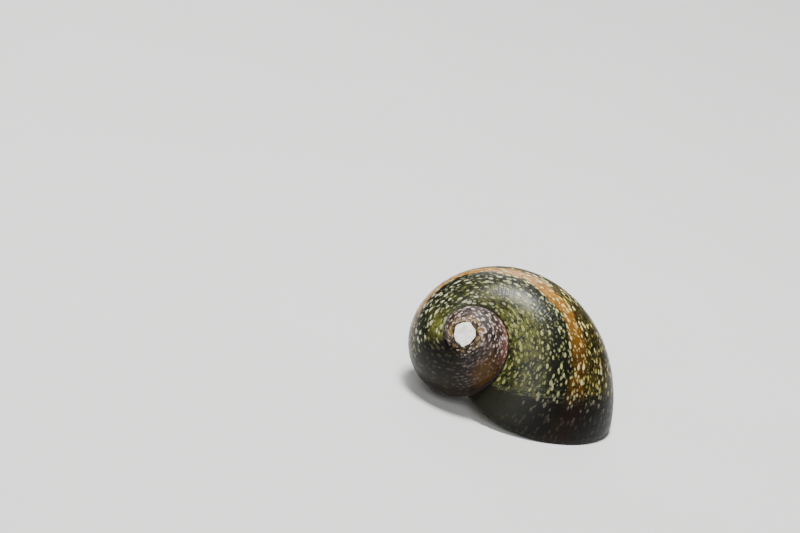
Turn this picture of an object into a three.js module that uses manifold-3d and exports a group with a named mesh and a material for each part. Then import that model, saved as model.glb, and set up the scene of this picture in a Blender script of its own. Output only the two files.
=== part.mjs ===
// A nerite snail at life size: a low-spired, half-globe shell set down on its
// lip, with the foot, head, tentacles, eyes and operculum of the animal below it.
// Millimetres, +Z up, floor at z = 0. The head points to -Y, the snail's right is -X.
import * as THREE from 'three';
import Module from 'manifold-3d';
import { mergeVertices } from 'three/addons/utils/BufferGeometryUtils.js';

const wasm = await Module();
wasm.setup();
const { Manifold, Mesh: SolidMesh } = wasm;

const GAP = 0.3;
const FAR = 40;

// The coiling axis leaves the shell at the tip of the spire, back, up and a little right.
const APEX = new THREE.Vector3(4.75, 8.94, 9.95);
const AXIS_TILT = THREE.MathUtils.degToRad(35.1);
const AXIS_HEADING = THREE.MathUtils.degToRad(106.6);

// Turns are counted in radians from the corner where the lip leaves the suture.
// Negative turns are older shell. Every length below is the length at turn 0.
const LIP_CORNER_HEADING = 4.316;
const GROWTH_PER_WHORL = 3.115;
const LATE_GROWTH = 0.0158;
const LATE_GROWTH_TURNS = 2.59;
const BODY_WHORL_START = -2 * Math.PI;
const SPIRE_TURNS = 11;
const TURN_STEP = 0.2;
const SPIRE_STEP = 0.27;
const SECTION_STEPS = 18;
const SPIRE_SECTION_STEPS = 14;
const SEAM_TURN = 0.045;

// One whorl in section: an elliptic arc that stands on the slope of the spire,
// from the suture above it to the next one, and on round to the axis.
const SPIRE_SLOPE = THREE.MathUtils.degToRad(38.9);
const NEXT_SUTURE = 26.03;
const BULGE = 10.95;
const BULGE_SINK = 0.72;
const SECTION_END = THREE.MathUtils.degToRad(-119);
const COLUMELLA = 0.5;
const COLUMELLA_FLARE = 0.088;
const COLUMELLA_LENGTH = 24;
const SPIRE_CORE_LENGTH = 5.5;
const THINNEST = 0.03;

// The lip lies in a plane that leans against the floor and rises at its rear corner.
const LIP_TOUCH = new THREE.Vector3(-7.8, -2.4, -0.05);
const LIP_LEAN_X = 0.1385;
const LIP_LEAN_Y = -0.0401;
const CORNER_RISE = 1.36;
const CORNER_RISE_POWER = 1.16;
const CORNER_RISE_START = new THREE.Vector2(-6.58, 7.08);
const CORNER_RISE_HEADING = THREE.MathUtils.degToRad(15.2);
const CORNER_RISE_RUN = 11.7;
const CORNER_RISE_STEPS = 8;
const LIP_CUT_FROM = -4;
const LIP_CUT_OVERLAP = 0.2;
const LIP_CUT_TO = 0.2;

const WALL = 0.9;
const MOUTH_DEPTH = 4.0;
const MOUTH_REACH = 0.4;
const OLDER_WHORL_REACH = 3.2;
const LAST_GROWTH_TURN = 0.33;
const LIP_LEFT_END = 7.0;

const ERODED_TIP_RADIUS = 1.25;
const TIP_FLATNESS = 0.62;
const TIP_SHIFT = new THREE.Vector3(-0.32, -0.58, -0.86);
const TIP_FACING = new THREE.Vector3(-0.593, 0.744, 0.307);
const CALLUS_SPREAD = 2.2;
const MANTLE_RECESS = 0.5;
const MANTLE_HEIGHT = 1.1;
const MANTLE_WIDTH = 0.9;

// The deck is the flat shelf across the rear left of the mouth, toothed on its edge.
const DECK_THICKNESS = 1.1;
const DECK_RECESS = 0.35;
const DECK_EDGE = [new THREE.Vector2(-1.9, 5.5), new THREE.Vector2(7.5, -6.0)];
const DECK_TEETH = 13;
const DECK_TOOTH = new THREE.Vector3(0.68, 0.68, 0.54);

const FOOT_CENTRE = new THREE.Vector2(1.5, -2.3);
const FOOT_LENGTH = 14.2;
const FOOT_WIDTH = 9.8;
const FOOT_TURN = THREE.MathUtils.degToRad(6);
const FOOT_RIM = 0.55;
const FOOT_RIM_ROUNDING = 0.3;
const FOOT_BACK = 1.1;
const NECK_CENTRE = new THREE.Vector2(-1.3, -3.9);
const NECK_WIDTH = 8.6;
const NECK_START = 2.4;
const NECK_TOP = 9;

const HEAD_CENTRE = new THREE.Vector3(2.7, -11.0, 1.0);
const HEAD_WIDTH = 4.7;
const HEAD_HEIGHT = 1.7;
const HEAD_SQUARENESS = 2.4;
const HEAD_SIDES = 22;
const SNOUT_REACH = 3.3;
const NECK_REACH = 2.4;
const MOUTH_WIDTH = 2.3;
const MOUTH_GAP = 0.24;
const MOUTH_CUT = 0.55;
const MOUTH_LEAN = THREE.MathUtils.degToRad(14);
const MOUTH_SHARE = 0.36;
const EYE_RADIUS = 0.36;
const EYE_SEAT_GAP = 0.12;
const EYE_SHIFT = new THREE.Vector3(0.42, -0.14, 0.2);
const STALK_SHIFT = new THREE.Vector3(2.0, -0.75, 0.35);
const STALK_SIZE = new THREE.Vector3(1.25, 1.15, 1.1);
const TENTACLE_ROOT = 0.42;
const TENTACLE_TIP = 0.2;
const TENTACLE_TAPER = 1.3;
const TENTACLE_STEPS = 9;
const TENTACLE_SIDES = 9;
const LEFT_BEND = [[1.5, -0.7, 0.3], [2.5, -2.0, 0.75], [3.4, -3.6, 0.85], [3.7, -5.3, 0.45]];
const RIGHT_BEND = [[-1.5, -0.7, 0.25], [-2.1, -2.1, 0.7], [-1.7, -3.7, 0.9], [-0.7, -5.1, 0.6]];

const OPERCULUM_LENGTH = 6.2;
const OPERCULUM_WIDTH = 3.8;
const OPERCULUM_THICKNESS = 0.6;
const OPERCULUM_CENTRE = new THREE.Vector3(4.3, 2.2, 1.72);
const OPERCULUM_LEAN = THREE.MathUtils.degToRad(4);
const LOBE_CENTRE = new THREE.Vector3(3.4, 1.9, 0.75);
const LOBE_SIZE = new THREE.Vector3(5.4, 5.0, 1.5);

const axis = new THREE.Vector3(
  Math.cos(AXIS_TILT) * Math.cos(AXIS_HEADING),
  Math.cos(AXIS_TILT) * Math.sin(AXIS_HEADING),
  Math.sin(AXIS_TILT),
);
const level = new THREE.Vector3().crossVectors(axis, new THREE.Vector3(0, 0, 1)).normalize();
const upward = new THREE.Vector3().crossVectors(axis, level);

const shellDark = new THREE.MeshStandardMaterial({ color: 0x39402c, roughness: 0.3, metalness: 0 });
const shellSpire = new THREE.MeshStandardMaterial({ color: 0x54403c, roughness: 0.35, metalness: 0 });
const shellLip = new THREE.MeshStandardMaterial({ color: 0x24241a, roughness: 0.3, metalness: 0 });
const chalk = new THREE.MeshStandardMaterial({ color: 0xe9e6da, roughness: 0.85, metalness: 0 });
const callus = new THREE.MeshStandardMaterial({ color: 0xd9d6c4, roughness: 0.35, metalness: 0 });
const skin = new THREE.MeshStandardMaterial({ color: 0x4c4a41, roughness: 0.4, metalness: 0 });
const mantle = new THREE.MeshStandardMaterial({ color: 0x2f2d28, roughness: 0.4, metalness: 0 });
const eyeBlack = new THREE.MeshStandardMaterial({ color: 0x0b0b0c, roughness: 0.1, metalness: 0 });
const limyPlate = new THREE.MeshStandardMaterial({ color: 0x8a6a52, roughness: 0.45, metalness: 0 });

// A closed geometry becomes a solid once its corners are merged by position alone.
function solid(geometry) {
  const bare = geometry.clone();
  bare.deleteAttribute('normal');
  bare.deleteAttribute('uv');
  const merged = mergeVertices(bare, 1e-4);
  const mesh = new SolidMesh({
    numProp: 3,
    vertProperties: new Float32Array(merged.attributes.position.array),
    triVerts: new Uint32Array(merged.index.array),
  });
  return new Manifold(mesh);
}

function join(...pieces) {
  return pieces.reduce((whole, piece) => whole.add(piece));
}

// Keeps the largest closed surface of a solid and returns it as a geometry.
function largest(body) {
  const pieces = body.decompose();
  const biggest = pieces.reduce((a, b) => (b.volume() > a.volume() ? b : a));
  const mesh = biggest.getMesh();
  const geometry = new THREE.BufferGeometry();
  const positions = new Float32Array(mesh.numVert * 3);
  for (let i = 0; i < mesh.numVert; i += 1) {
    for (let k = 0; k < 3; k += 1) {
      positions[3 * i + k] = mesh.vertProperties[mesh.numProp * i + k];
    }
  }
  geometry.setAttribute('position', new THREE.BufferAttribute(positions, 3));
  geometry.setIndex([...mesh.triVerts]);
  geometry.computeVertexNormals();
  return geometry;
}

// Joins rings of equal count into a closed skin, with a fan of faces on each end.
function loft(rings) {
  const count = rings[0].length;
  const positions = [];
  const faces = [];
  rings.forEach((ring) => ring.forEach((p) => positions.push(p.x, p.y, p.z)));
  for (let i = 0; i + 1 < rings.length; i += 1) {
    for (let j = 0; j < count; j += 1) {
      const next = (j + 1) % count;
      const a = i * count + j;
      const b = i * count + next;
      faces.push(a, b, b + count, a, b + count, a + count);
    }
  }
  const addEnd = (ring, start, flip) => {
    const centre = ring.reduce((sum, p) => sum.add(p), new THREE.Vector3()).divideScalar(count);
    const tip = positions.length / 3;
    positions.push(centre.x, centre.y, centre.z);
    for (let j = 0; j < count; j += 1) {
      const a = start + j;
      const b = start + ((j + 1) % count);
      faces.push(...(flip ? [tip, a, b] : [tip, b, a]));
    }
  };
  addEnd(rings[0], 0, false);
  addEnd(rings[rings.length - 1], (rings.length - 1) * count, true);
  const geometry = new THREE.BufferGeometry();
  geometry.setAttribute('position', new THREE.BufferAttribute(new Float32Array(positions), 3));
  geometry.setIndex(faces);
  return facingOut(geometry);
}

// Turns a closed geometry's faces outward when its signed volume is negative.
function facingOut(geometry) {
  const p = geometry.attributes.position;
  const index = geometry.index.array;
  const corner = (i) => new THREE.Vector3().fromBufferAttribute(p, index[i]);
  let volume = 0;
  for (let i = 0; i < index.length; i += 3) {
    volume += corner(i).dot(corner(i + 1).cross(corner(i + 2)));
  }
  if (volume < 0) {
    for (let i = 0; i < index.length; i += 3) {
      [index[i], index[i + 1]] = [index[i + 1], index[i]];
    }
  }
  return geometry;
}

function block(x0, x1, y0, y1, z0, z1) {
  const box = new THREE.BoxGeometry(x1 - x0, y1 - y0, z1 - z0);
  return solid(box.translate((x0 + x1) / 2, (y0 + y1) / 2, (z0 + z1) / 2));
}

function ellipsoid(centre, size, grow = 0, rows = 8, columns = 14) {
  const ball = new THREE.SphereGeometry(1, columns, rows);
  ball.scale(size.x / 2 + grow, size.y / 2 + grow, size.z / 2 + grow);
  return solid(ball.translate(centre.x, centre.y, centre.z));
}

// Stands a form made round the Y axis along a direction, with its origin at a point.
function standing(geometry, direction, origin) {
  const stand = new THREE.Quaternion();
  stand.setFromUnitVectors(new THREE.Vector3(0, 1, 0), direction.clone().normalize());
  return solid(geometry.applyQuaternion(stand).translate(origin.x, origin.y, origin.z));
}

function growth(turn) {
  const rate = Math.log(GROWTH_PER_WHORL) / (2 * Math.PI);
  const late = Math.max(turn + LATE_GROWTH_TURNS, 0) ** 2 - LATE_GROWTH_TURNS ** 2;
  return Math.exp(rate * turn + LATE_GROWTH * late);
}

// The section of one whorl at a turn, drawn in by inset, as points round its edge.
function whorlSection(turn, inset, steps) {
  const scale = growth(turn);
  const outer = NEXT_SUTURE * scale;
  const inner = outer / GROWTH_PER_WHORL;
  const middle = (inner + outer) / 2;
  const rise = BULGE * scale;
  const reach = (outer - inner) / 2 / Math.sqrt(1 - BULGE_SINK ** 2);
  const start = Math.PI - Math.asin(BULGE_SINK);
  const core = Math.max(COLUMELLA * scale + inset, THINNEST);
  const points = [];
  for (let i = 0; i <= steps; i += 1) {
    const angle = start + ((SECTION_END - start) * i) / steps;
    const along = middle + Math.max(reach - inset, THINNEST) * Math.cos(angle);
    const out = -BULGE_SINK * rise + Math.max(rise - inset, THINNEST) * Math.sin(angle);
    const radius = along * Math.cos(SPIRE_SLOPE) + out * Math.sin(SPIRE_SLOPE);
    const height = -along * Math.sin(SPIRE_SLOPE) + out * Math.cos(SPIRE_SLOPE);
    points.push([Math.max(radius, core), height]);
  }
  return points;
}

// A stretch of whorl. Its rings stand on one common grid of turns, so that two
// stretches that overlap share the faces between their common rings.
function whorl(from, to, inset = 0, step = TURN_STEP, sectionSteps = SECTION_STEPS) {
  const turns = [from];
  for (let i = Math.floor(from / step) + 1; i * step < to - THINNEST; i += 1) {
    if (i * step > from + THINNEST) {
      turns.push(i * step);
    }
  }
  turns.push(to);
  const rings = turns.map((turn) => {
    const heading = LIP_CORNER_HEADING + turn;
    const outward = level.clone().multiplyScalar(Math.cos(heading));
    outward.addScaledVector(upward, -Math.sin(heading));
    return whorlSection(turn, inset, sectionSteps).map(([radius, height]) => APEX.clone()
      .addScaledVector(outward, radius)
      .addScaledVector(axis, height));
  });
  return solid(loft(rings));
}

// A slim cone along the axis closes the narrow space that the whorls leave round it.
function columella(length, spread = 0) {
  const radius = COLUMELLA_FLARE * length + spread;
  const cone = new THREE.CylinderGeometry(spread + 0.05, radius, length, 16);
  return standing(cone.translate(0, -length / 2, 0), axis, APEX);
}

// The spire's whorls, wider by spread, in lengths of less than one turn each.
function spireWhorls(spread) {
  const half = BODY_WHORL_START - SPIRE_TURNS / 2;
  const length = (from, to) => whorl(from, to, -spread, SPIRE_STEP, SPIRE_SECTION_STEPS);
  return join(
    length(BODY_WHORL_START - SPIRE_TURNS, half),
    length(half - SPIRE_STEP, BODY_WHORL_START),
    columella(SPIRE_CORE_LENGTH, spread),
  );
}

// The eroded tip: a low dome beside the axis, worn askew, which closes the top of the spire.
function tipDome(spread) {
  const wide = ERODED_TIP_RADIUS + spread;
  const dome = new THREE.SphereGeometry(1, 20, 10);
  dome.scale(wide, ERODED_TIP_RADIUS * TIP_FLATNESS + spread, wide);
  return standing(dome, TIP_FACING, APEX.clone().add(TIP_SHIFT));
}

function lipPlane(x, y) {
  return LIP_TOUCH.z + LIP_LEAN_X * (x - LIP_TOUCH.x) + LIP_LEAN_Y * (y - LIP_TOUCH.y);
}

function lipRise(distance) {
  const share = Math.max(distance, 0) / CORNER_RISE_RUN;
  return CORNER_RISE * share ** CORNER_RISE_POWER;
}

function lipHeight(x, y) {
  const along = (x - CORNER_RISE_START.x) * Math.cos(CORNER_RISE_HEADING)
    + (y - CORNER_RISE_START.y) * Math.sin(CORNER_RISE_HEADING);
  return lipPlane(x, y) + lipRise(along);
}

// Everything below the lip's plane, raised by lift: a slab drawn across the corner's rise.
function belowLip(lift = 0) {
  const shape = new THREE.Shape();
  shape.moveTo(-FAR, -FAR);
  shape.lineTo(FAR, -FAR);
  shape.lineTo(FAR, lipRise(CORNER_RISE_RUN * 1.5));
  for (let i = CORNER_RISE_STEPS; i >= 0; i -= 1) {
    const distance = (i * CORNER_RISE_RUN * 1.5) / CORNER_RISE_STEPS;
    shape.lineTo(distance, lipRise(distance));
  }
  shape.lineTo(-FAR, 0);
  const slab = new THREE.ExtrudeGeometry(shape, { depth: 2 * FAR, bevelEnabled: false });
  slab.translate(0, 0, -FAR);
  const along = new THREE.Vector3(Math.cos(CORNER_RISE_HEADING), Math.sin(CORNER_RISE_HEADING), 0);
  const across = new THREE.Vector3(along.y, -along.x, 0);
  const place = new THREE.Matrix4().makeBasis(along, new THREE.Vector3(0, 0, 1), across);
  slab.applyMatrix4(place.setPosition(CORNER_RISE_START.x, CORNER_RISE_START.y, 0));
  const lean = new THREE.Matrix4().set(
    1, 0, 0, 0,
    0, 1, 0, 0,
    LIP_LEAN_X, LIP_LEAN_Y, 1, lift + lipPlane(0, 0),
    0, 0, 0, 1,
  );
  return solid(slab.applyMatrix4(lean));
}

// Moves a form of the lip back to where it stood some turns before the shell was full grown.
function asGrown(body, turn) {
  const size = growth(turn);
  const matrix = new THREE.Matrix4().makeTranslation(APEX.x, APEX.y, APEX.z)
    .multiply(new THREE.Matrix4().makeRotationAxis(axis, -turn))
    .multiply(new THREE.Matrix4().makeScale(size, size, size))
    .multiply(new THREE.Matrix4().makeTranslation(-APEX.x, -APEX.y, -APEX.z));
  return body.transform(matrix.elements);
}

// The space inside the mouth, kept clear of its wall and roof, and of the older whorls.
function mouthSpace(wall, roof, spread) {
  const from = LIP_CUT_FROM + MOUTH_REACH;
  return whorl(from, MOUTH_REACH, wall)
    .subtract(whorl(BODY_WHORL_START - OLDER_WHORL_REACH, from, -spread))
    .subtract(columella(COLUMELLA_LENGTH + 2, spread))
    .intersect(belowLip(roof));
}

const floorDown = block(-FAR, FAR, -FAR, FAR, -FAR, 0);
const deckTop = DECK_RECESS + DECK_THICKNESS;
const spireCutter = spireWhorls(GAP);
const earlyEnd = LIP_CUT_FROM + LIP_CUT_OVERLAP;
const earlyWhorl = whorl(BODY_WHORL_START + SEAM_TURN, earlyEnd);
const earlyWhorlClear = join(whorl(BODY_WHORL_START, earlyEnd, -GAP), spireCutter);
const lateWhorl = join(whorl(LIP_CUT_FROM, LIP_CUT_TO), columella(COLUMELLA_LENGTH));
const deckZone = columella(COLUMELLA_LENGTH, CALLUS_SPREAD + GAP).intersect(belowLip(deckTop + GAP));
const shellMass = join(earlyWhorl, lateWhorl.subtract(belowLip()).subtract(deckZone));
const openShell = shellMass.subtract(mouthSpace(WALL, MOUTH_DEPTH, 0)).subtract(floorDown);
const lipSide = block(-FAR, LIP_LEFT_END, -FAR, FAR, -FAR, FAR);
const lipSideClear = block(-FAR, LIP_LEFT_END + GAP, -FAR, FAR, -FAR, FAR);
const lastGrowth = asGrown(belowLip(), -LAST_GROWTH_TURN);
const lastGrowthClear = asGrown(belowLip(GAP), -LAST_GROWTH_TURN);
const bodyWhorl = openShell
  .subtract(spireCutter)
  .subtract(lastGrowthClear.intersect(lipSideClear).subtract(earlyWhorl));
const outerLip = openShell.subtract(earlyWhorlClear).intersect(lastGrowth).intersect(lipSide);
const spire = spireWhorls(0).subtract(tipDome(GAP));

// Everything on the deck's side of its toothed edge, moved by shift towards the opening.
function behindDeckEdge(shift = 0) {
  const run = new THREE.Vector2().subVectors(DECK_EDGE[1], DECK_EDGE[0]);
  const turn = new THREE.Matrix4().makeRotationZ(Math.atan2(run.y, run.x));
  turn.setPosition(DECK_EDGE[0].x, DECK_EDGE[0].y, 0);
  return block(-FAR, FAR, -shift, FAR, -FAR, FAR).transform(turn.elements);
}

// A row of blunt teeth along the deck's edge, the largest in the middle.
function deckTeeth(grow) {
  const teeth = [];
  for (let i = 1; i < DECK_TEETH; i += 1) {
    const share = i / DECK_TEETH;
    const spot = new THREE.Vector2().lerpVectors(DECK_EDGE[0], DECK_EDGE[1], share);
    const size = DECK_TOOTH.clone().multiplyScalar(0.75 + 0.45 * Math.sin(Math.PI * share));
    const height = lipHeight(spot.x, spot.y) + DECK_RECESS + DECK_THICKNESS / 2;
    teeth.push(ellipsoid(new THREE.Vector3(spot.x, spot.y, height), size, grow, 4, 8));
  }
  return teeth;
}

const inMouth = mouthSpace(WALL + GAP, MOUTH_DEPTH - GAP, GAP);
const deckSlab = belowLip(deckTop).subtract(belowLip(DECK_RECESS)).intersect(behindDeckEdge());
const deckRoom = join(inMouth, columella(COLUMELLA_LENGTH, CALLUS_SPREAD));
const deck = join(deckSlab, ...deckTeeth(0)).intersect(deckRoom).subtract(earlyWhorlClear);
const deckClear = join(
  belowLip(deckTop + GAP).subtract(belowLip(DECK_RECESS - GAP)).intersect(behindDeckEdge(GAP)),
  ...deckTeeth(GAP),
);

// The mantle edge: a fleshy band that lines the lip, a little way inside it.
const mantleTop = MANTLE_RECESS + MANTLE_HEIGHT;
const mantleEdge = mouthSpace(WALL + GAP, MOUTH_DEPTH, GAP)
  .subtract(whorl(LIP_CUT_FROM, MOUTH_REACH, WALL + GAP + MANTLE_WIDTH))
  .intersect(belowLip(mantleTop).subtract(belowLip(MANTLE_RECESS)))
  .subtract(deckClear)
  .subtract(behindDeckEdge(GAP));
const mantleClear = belowLip(mantleTop + GAP)
  .subtract(belowLip(MANTLE_RECESS - GAP))
  .subtract(whorl(LIP_CUT_FROM, MOUTH_REACH, WALL + 2 * GAP + MANTLE_WIDTH));

function floorOval(centre, z, width, length, turn = FOOT_TURN, count = 26) {
  const points = [];
  for (let i = 0; i < count; i += 1) {
    const angle = (2 * Math.PI * i) / count;
    const across = (width / 2) * Math.cos(angle);
    const along = (length / 2) * Math.sin(angle);
    points.push(new THREE.Vector3(
      centre.x + across * Math.cos(turn) - along * Math.sin(turn),
      centre.y + across * Math.sin(turn) + along * Math.cos(turn),
      z,
    ));
  }
  return points;
}

// The foot: a flat oval sole with a thin rounded rim, the body that stands on it,
// and a lobe behind that carries the operculum.
function footForm() {
  const round = 2 * FOOT_RIM_ROUNDING;
  const rings = [
    floorOval(FOOT_CENTRE, 0, FOOT_WIDTH - round, FOOT_LENGTH - round),
    floorOval(FOOT_CENTRE, FOOT_RIM / 2, FOOT_WIDTH, FOOT_LENGTH),
    floorOval(FOOT_CENTRE, FOOT_RIM, FOOT_WIDTH - round / 2, FOOT_LENGTH - round / 2),
    floorOval(FOOT_CENTRE, FOOT_BACK, FOOT_WIDTH * 0.8, FOOT_LENGTH * 0.8),
    floorOval(FOOT_CENTRE, FOOT_BACK * 1.4, FOOT_WIDTH * 0.72, FOOT_LENGTH * 0.64),
    floorOval(NECK_CENTRE, NECK_START, NECK_WIDTH, NECK_WIDTH),
    floorOval(NECK_CENTRE, NECK_TOP, NECK_WIDTH * 0.95, NECK_WIDTH * 0.95),
  ];
  return join(solid(loft(rings)), ellipsoid(LOBE_CENTRE, LOBE_SIZE)).subtract(floorDown);
}

// A squarish oval across the head, at a distance forward of its centre.
function headRing(forward, width, height, z) {
  const points = [];
  const rounded = (value) => Math.sign(value) * Math.abs(value) ** (2 / HEAD_SQUARENESS);
  for (let i = 0; i < HEAD_SIDES; i += 1) {
    const angle = (2 * Math.PI * (i + 0.5)) / HEAD_SIDES;
    points.push(new THREE.Vector3(
      HEAD_CENTRE.x + (width / 2) * rounded(Math.cos(angle)),
      HEAD_CENTRE.y - forward,
      z + (height / 2) * rounded(Math.sin(angle)),
    ));
  }
  return points;
}

// The head runs from the neck to a broad, flat snout that dips towards the floor.
function skull(grow) {
  const stations = [
    [-NECK_REACH - grow, 0.62, 0.7, 1.0],
    [-NECK_REACH * 0.6, 0.8, 0.95, 1.02],
    [-NECK_REACH * 0.2, 0.95, 1.0, 1.02],
    [SNOUT_REACH * 0.1, 1.0, 1.0, 1.0],
    [SNOUT_REACH * 0.32, 0.9, 0.92, 0.95],
    [SNOUT_REACH * 0.52, 0.78, 0.82, 0.88],
    [SNOUT_REACH * 0.74, 0.78, 0.74, 0.82],
    [SNOUT_REACH * 0.9, 0.7, 0.58, 0.76],
    [SNOUT_REACH + grow, 0.46, 0.28, 0.7],
  ];
  const rings = stations.map(([forward, wide, high, z]) => headRing(
    forward,
    HEAD_WIDTH * wide + 2 * grow,
    HEAD_HEIGHT * high + 2 * grow,
    HEAD_CENTRE.z * z,
  ));
  return solid(loft(rings));
}

function besideHead(shift, side) {
  return HEAD_CENTRE.clone().add(new THREE.Vector3(side * shift.x, shift.y, shift.z));
}

function stalk(side, grow) {
  return ellipsoid(besideHead(STALK_SHIFT, side), STALK_SIZE, grow, 7, 12);
}

function eyeBall(side, grow) {
  const spot = besideHead(STALK_SHIFT.clone().add(EYE_SHIFT), side);
  const size = new THREE.Vector3(2, 2, 2).multiplyScalar(EYE_RADIUS);
  return ellipsoid(spot, size, grow, 8, 12);
}

function headMass(grow) {
  return join(skull(grow), stalk(1, grow), stalk(-1, grow));
}

// The mouth: a shallow curved slot across the front of the snout, low down.
function mouthSlot() {
  const radius = MOUTH_WIDTH / 2;
  const cut = new THREE.CylinderGeometry(radius, radius, MOUTH_GAP, 18);
  cut.rotateX(Math.PI / 2 - MOUTH_LEAN).rotateX(-Math.PI / 2);
  const front = HEAD_CENTRE.y - SNOUT_REACH;
  return solid(cut.translate(HEAD_CENTRE.x, front - radius + MOUTH_CUT, HEAD_HEIGHT * MOUTH_SHARE));
}

function tentacle(bend) {
  const path = bend.map((shift) => HEAD_CENTRE.clone().add(new THREE.Vector3(...shift)));
  const curve = new THREE.CatmullRomCurve3(path);
  const frames = curve.computeFrenetFrames(TENTACLE_STEPS, false);
  const rings = [];
  for (let i = 0; i <= TENTACLE_STEPS; i += 1) {
    const share = i / TENTACLE_STEPS;
    const centre = curve.getPointAt(share);
    const radius = TENTACLE_ROOT + (TENTACLE_TIP - TENTACLE_ROOT) * share ** TENTACLE_TAPER;
    const ring = [];
    for (let k = 0; k < TENTACLE_SIDES; k += 1) {
      const angle = (2 * Math.PI * k) / TENTACLE_SIDES;
      ring.push(centre.clone()
        .addScaledVector(frames.normals[i], radius * Math.cos(angle))
        .addScaledVector(frames.binormals[i], radius * Math.sin(angle)));
    }
    rings.push(ring);
  }
  return solid(loft(rings));
}

// The operculum: a thin half-moon plate on the back of the foot, under the deck.
function operculum(grow) {
  const shape = new THREE.Shape();
  shape.absellipse(0, 0, OPERCULUM_LENGTH / 2 + grow, OPERCULUM_WIDTH + grow, 0, Math.PI);
  shape.closePath();
  const depth = OPERCULUM_THICKNESS + 2 * grow;
  const plate = new THREE.ExtrudeGeometry(shape, { depth, bevelEnabled: false, curveSegments: 20 });
  plate.translate(0, -OPERCULUM_WIDTH / 2, -depth / 2);
  const run = new THREE.Vector2().subVectors(DECK_EDGE[1], DECK_EDGE[0]);
  const place = new THREE.Matrix4().makeRotationZ(Math.atan2(run.y, run.x));
  place.multiply(new THREE.Matrix4().makeRotationX(OPERCULUM_LEAN));
  return solid(plate.applyMatrix4(place.setPosition(OPERCULUM_CENTRE)));
}

const headClear = headMass(GAP);
const head = headMass(0)
  .subtract(mouthSlot())
  .subtract(eyeBall(1, EYE_SEAT_GAP))
  .subtract(eyeBall(-1, EYE_SEAT_GAP));
const underShell = belowLip(-GAP).subtract(earlyWhorlClear);
const foot = footForm()
  .intersect(join(inMouth, underShell))
  .subtract(deckClear)
  .subtract(mantleClear)
  .subtract(headClear)
  .subtract(operculum(GAP));

const model = new THREE.Group();

function addNode(name, body, material) {
  const mesh = new THREE.Mesh(largest(body), material);
  mesh.name = name;
  model.add(mesh);
}

addNode('shell_body_whorl', bodyWhorl, shellDark);
addNode('shell_outer_lip', outerLip, shellLip);
addNode('shell_spire', spire, shellSpire);
addNode('shell_apex', tipDome(0), chalk);
addNode('shell_deck', deck, callus);
addNode('mantle_edge', mantleEdge, mantle);
addNode('foot', foot, skin);
addNode('head', head, skin);
addNode('tentacle_left', tentacle(LEFT_BEND).subtract(headClear), skin);
addNode('tentacle_right', tentacle(RIGHT_BEND).subtract(headClear), skin);
addNode('eye_left', eyeBall(1, 0), eyeBlack);
addNode('eye_right', eyeBall(-1, 0), eyeBlack);
addNode('operculum', operculum(0), limyPlate);

// The group is moved so that its origin is under the middle of the whole animal.
const extent = new THREE.Box3().setFromObject(model);
model.position.set(-(extent.min.x + extent.max.x) / 2, -(extent.min.y + extent.max.y) / 2, 0);

export default model;
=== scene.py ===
"""A life-size nerite snail: the shell grown from its coiling law, the soft body
under it, eyes and operculum, on a plain pale floor."""

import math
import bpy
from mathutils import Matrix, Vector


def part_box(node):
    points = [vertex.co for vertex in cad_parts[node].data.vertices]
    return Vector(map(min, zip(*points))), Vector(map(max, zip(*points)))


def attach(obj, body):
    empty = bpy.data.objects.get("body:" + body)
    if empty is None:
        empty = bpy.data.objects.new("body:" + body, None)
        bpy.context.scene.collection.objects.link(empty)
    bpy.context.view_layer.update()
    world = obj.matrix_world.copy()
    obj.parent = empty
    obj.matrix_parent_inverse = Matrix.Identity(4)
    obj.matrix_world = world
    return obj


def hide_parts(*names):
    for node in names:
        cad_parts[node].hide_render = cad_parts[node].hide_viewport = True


bl_info = {
    "name": "Nerite snail",
    "version": (1, 0, 0),
    "blender": (4, 5, 0),
    "location": "3D View > Sidebar > Nerite",
    "description": "Builds a life-size nerite snail with its shell, soft body, eyes and operculum",
    "category": "Add Mesh",
}

from functools import cache

import bmesh
import bpy
from bpy.props import FloatProperty, FloatVectorProperty, PointerProperty
from mathutils import Matrix, Vector, noise

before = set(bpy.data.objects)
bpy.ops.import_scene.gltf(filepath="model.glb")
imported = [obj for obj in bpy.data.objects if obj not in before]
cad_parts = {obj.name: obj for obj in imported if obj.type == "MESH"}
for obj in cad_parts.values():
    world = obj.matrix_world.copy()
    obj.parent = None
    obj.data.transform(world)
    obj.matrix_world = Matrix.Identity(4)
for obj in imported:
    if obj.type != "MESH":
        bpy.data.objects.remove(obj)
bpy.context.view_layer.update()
MM = 0.001
TURN = 2 * math.pi

# The shell's coiling law, in millimetres, as the solids have it. Turns are in
# radians from the corner where the lip leaves the suture; older shell is negative.
APEX = Vector((4.75, 8.94, 9.95))
AXIS_TILT = math.radians(35.1)
AXIS_HEADING = math.radians(106.6)
LIP_CORNER_HEADING = 4.316
GROWTH_PER_WHORL = 3.115
LATE_GROWTH = 0.0158
LATE_GROWTH_TURNS = 2.59
SPIRE_SLOPE = math.radians(38.9)
NEXT_SUTURE = 26.03
BULGE = 10.95
BULGE_SINK = 0.72
SECTION_START = math.pi - math.asin(BULGE_SINK)
SECTION_END = math.radians(-119)
COLUMELLA = 0.5
LIP_TOUCH = Vector((-7.8, -2.4, -0.05))
LIP_LEAN_X = 0.1385
LIP_LEAN_Y = -0.0401
CORNER_RISE = 1.36
CORNER_RISE_POWER = 1.16
CORNER_RISE_START = Vector((-6.58, 7.08))
CORNER_RISE_HEADING = math.radians(15.2)
CORNER_RISE_RUN = 11.7
LIP_LAST_ANGLE = math.radians(-66)
LIP_LAST_SLOPE = 3.4
COLUMELLA_TURN = -3.1

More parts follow.
